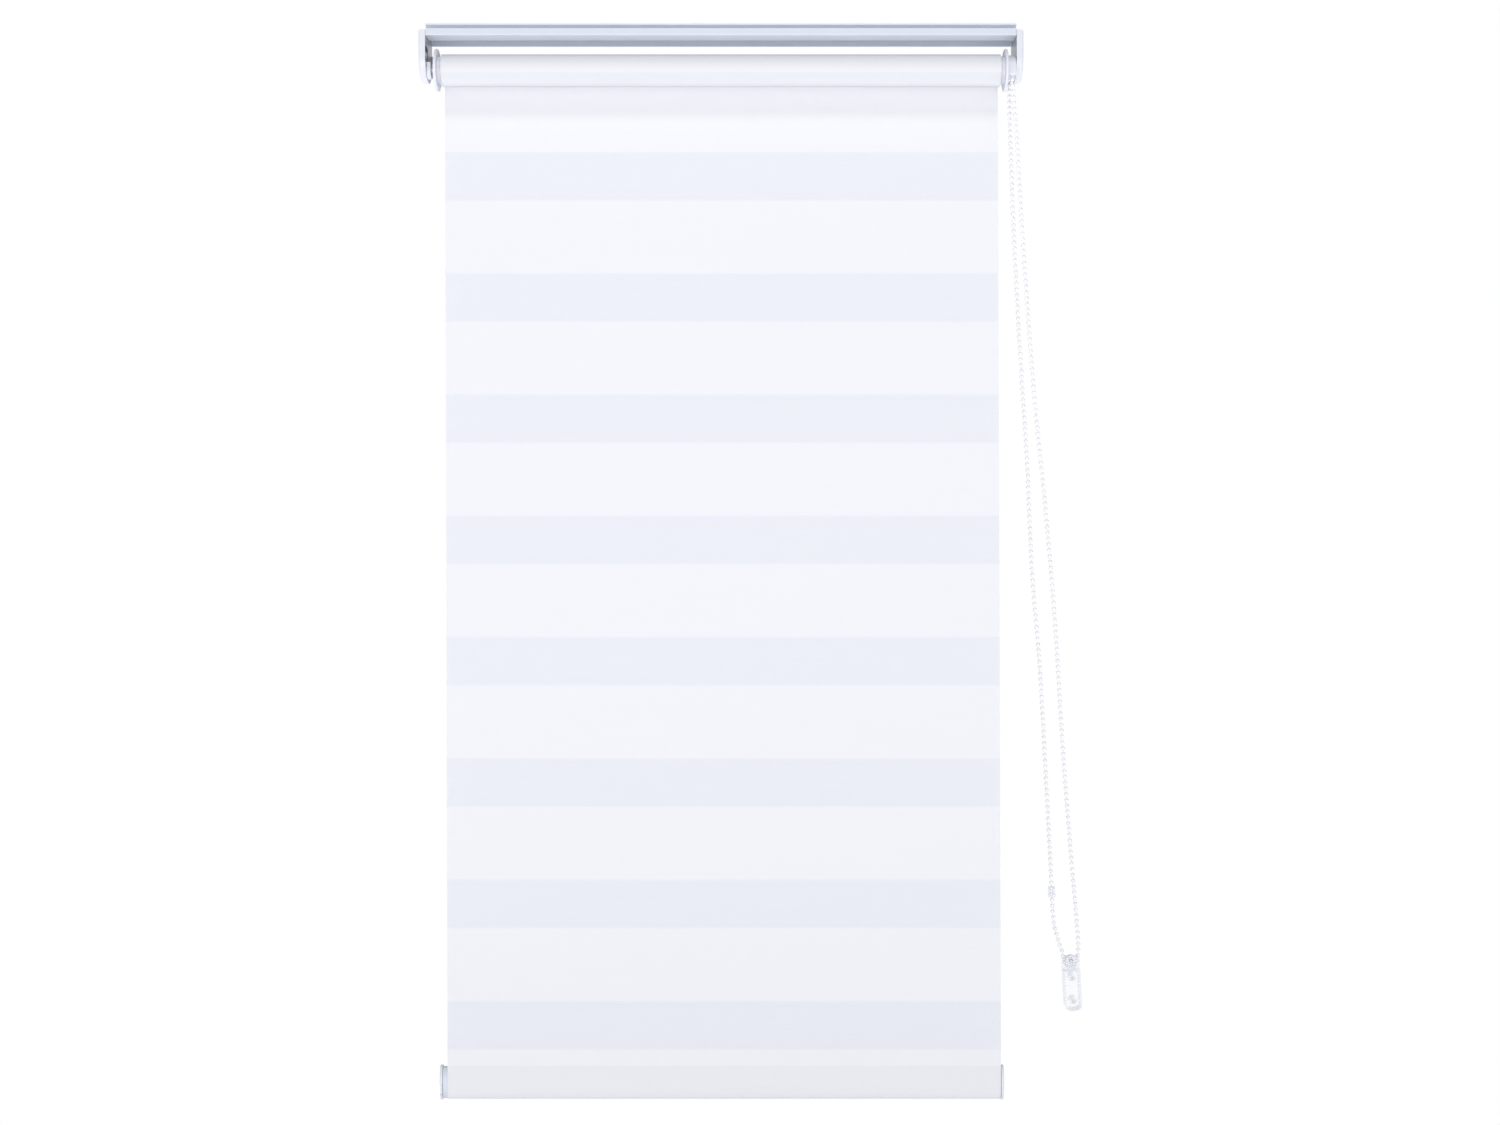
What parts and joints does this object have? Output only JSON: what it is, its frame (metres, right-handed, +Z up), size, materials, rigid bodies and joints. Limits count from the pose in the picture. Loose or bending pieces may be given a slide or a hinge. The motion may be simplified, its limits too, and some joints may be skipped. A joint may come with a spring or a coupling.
{
  "type": "roller blind",
  "caption": "White day-and-night roller blind with solid and sheer bands, open headrail, oval bottom bar and a bead chain loop held by a clear wall tensioner.",
  "frame": {"origin": "on the headrail's back face, 4.6 mm above its lower edge, at the middle of its length; that face rests on the wall or on its clips", "axes": "+Z up, +X to the right as seen from the room, +Y into the wall; the room is on the -Y side"},
  "size_m": [0.6793, 0.0505, 1.1018],
  "materials": {
    "rail_paint": "satin white powder coat on aluminium",
    "bracket_plastic": "satin white moulded plastic",
    "mechanism_plastic": "matt off-white moulded plastic",
    "steel": "zinc-plated sheet and wire",
    "aluminium": "mill-finish extrusion",
    "zebra_fabric": "white polyester with solid and sheer bands",
    "chain_plastic": "white acetal beads",
    "clear_plastic": "clear polycarbonate"
  },
  "bodies": {
    "mount": {"headrail": "rail_paint", "bracket_plate_left": "steel", "bracket_plate_right": "steel", "bracket_cover_left": "bracket_plastic", "bracket_cover_right": "bracket_plastic", "tongue_screw_left": "steel", "tongue_screw_right": "steel", "idle_pin_cradle": "mechanism_plastic", "idle_bush": "mechanism_plastic", "idle_spring": "steel", "winder_core": "mechanism_plastic", "winder_screw": "steel", "core_clip": "steel", "chain_guard": "bracket_plastic", "rear_fabric_bar": "aluminium", "rear_bar_holder_left": "mechanism_plastic", "rear_bar_holder_right": "mechanism_plastic", "rear_fabric_hem": "zebra_fabric", "front_fabric_panel": "zebra_fabric", "rear_fabric_panel": "zebra_fabric", "bead_chain": "chain_plastic", "chain_on_sprocket": "chain_plastic", "chain_joiner": "clear_plastic", "tensioner_body": "clear_plastic", "tensioner_axle": "steel"},
    "roller": {"roller_tube": "aluminium", "fabric_fixing_strip": "mechanism_plastic", "fabric_roll": "zebra_fabric", "idle_plug": "mechanism_plastic", "drive_hub": "mechanism_plastic", "sprocket": "mechanism_plastic", "wrap_spring_inner": "steel", "wrap_spring_outer": "steel"},
    "idle_pin": {"idle_pin": "steel"},
    "tensioner_wheel": {"tensioner_wheel": "chain_plastic"},
    "bottom_bar": {"bottom_bar": "rail_paint", "bottom_bar_cap_left": "bracket_plastic", "bottom_bar_cap_right": "bracket_plastic", "bottom_fabric_loop": "zebra_fabric"}
  },
  "joints": [
    {"name": "roller_spin", "type": "hinge", "parent": "mount", "child": "roller", "pos_m": [0, -0.029, -0.0366], "axis": [1, 0, 0], "range_deg": [0, 5760]},
    {"name": "bottom_bar_lift", "type": "slide", "parent": "mount", "child": "bottom_bar", "axis": [0, 0, 1], "range_m": [0, 0.9655], "deforming": ["front_fabric_panel", "rear_fabric_panel"]},
    {"name": "idle_pin_retract", "type": "slide", "parent": "mount", "child": "idle_pin", "axis": [1, 0, 0], "range_m": [0, 0.0075], "stiffness_N_per_m": 400, "springref_m": -0.01, "deforming": ["idle_spring"]},
    {"name": "tensioner_wheel_spin", "type": "hinge", "parent": "mount", "child": "tensioner_wheel", "pos_m": [0.361, -0.0063, -0.951], "axis": [0, 1, 0], "range_deg": [0, 9875.3]}
  ],
  "couplings": [
    {"joint": "bottom_bar_lift", "follows": "roller_spin", "m_per_rad": 0.009599},
    {"joint": "tensioner_wheel_spin", "follows": "roller_spin", "ratio": 1.7143}
  ]
}
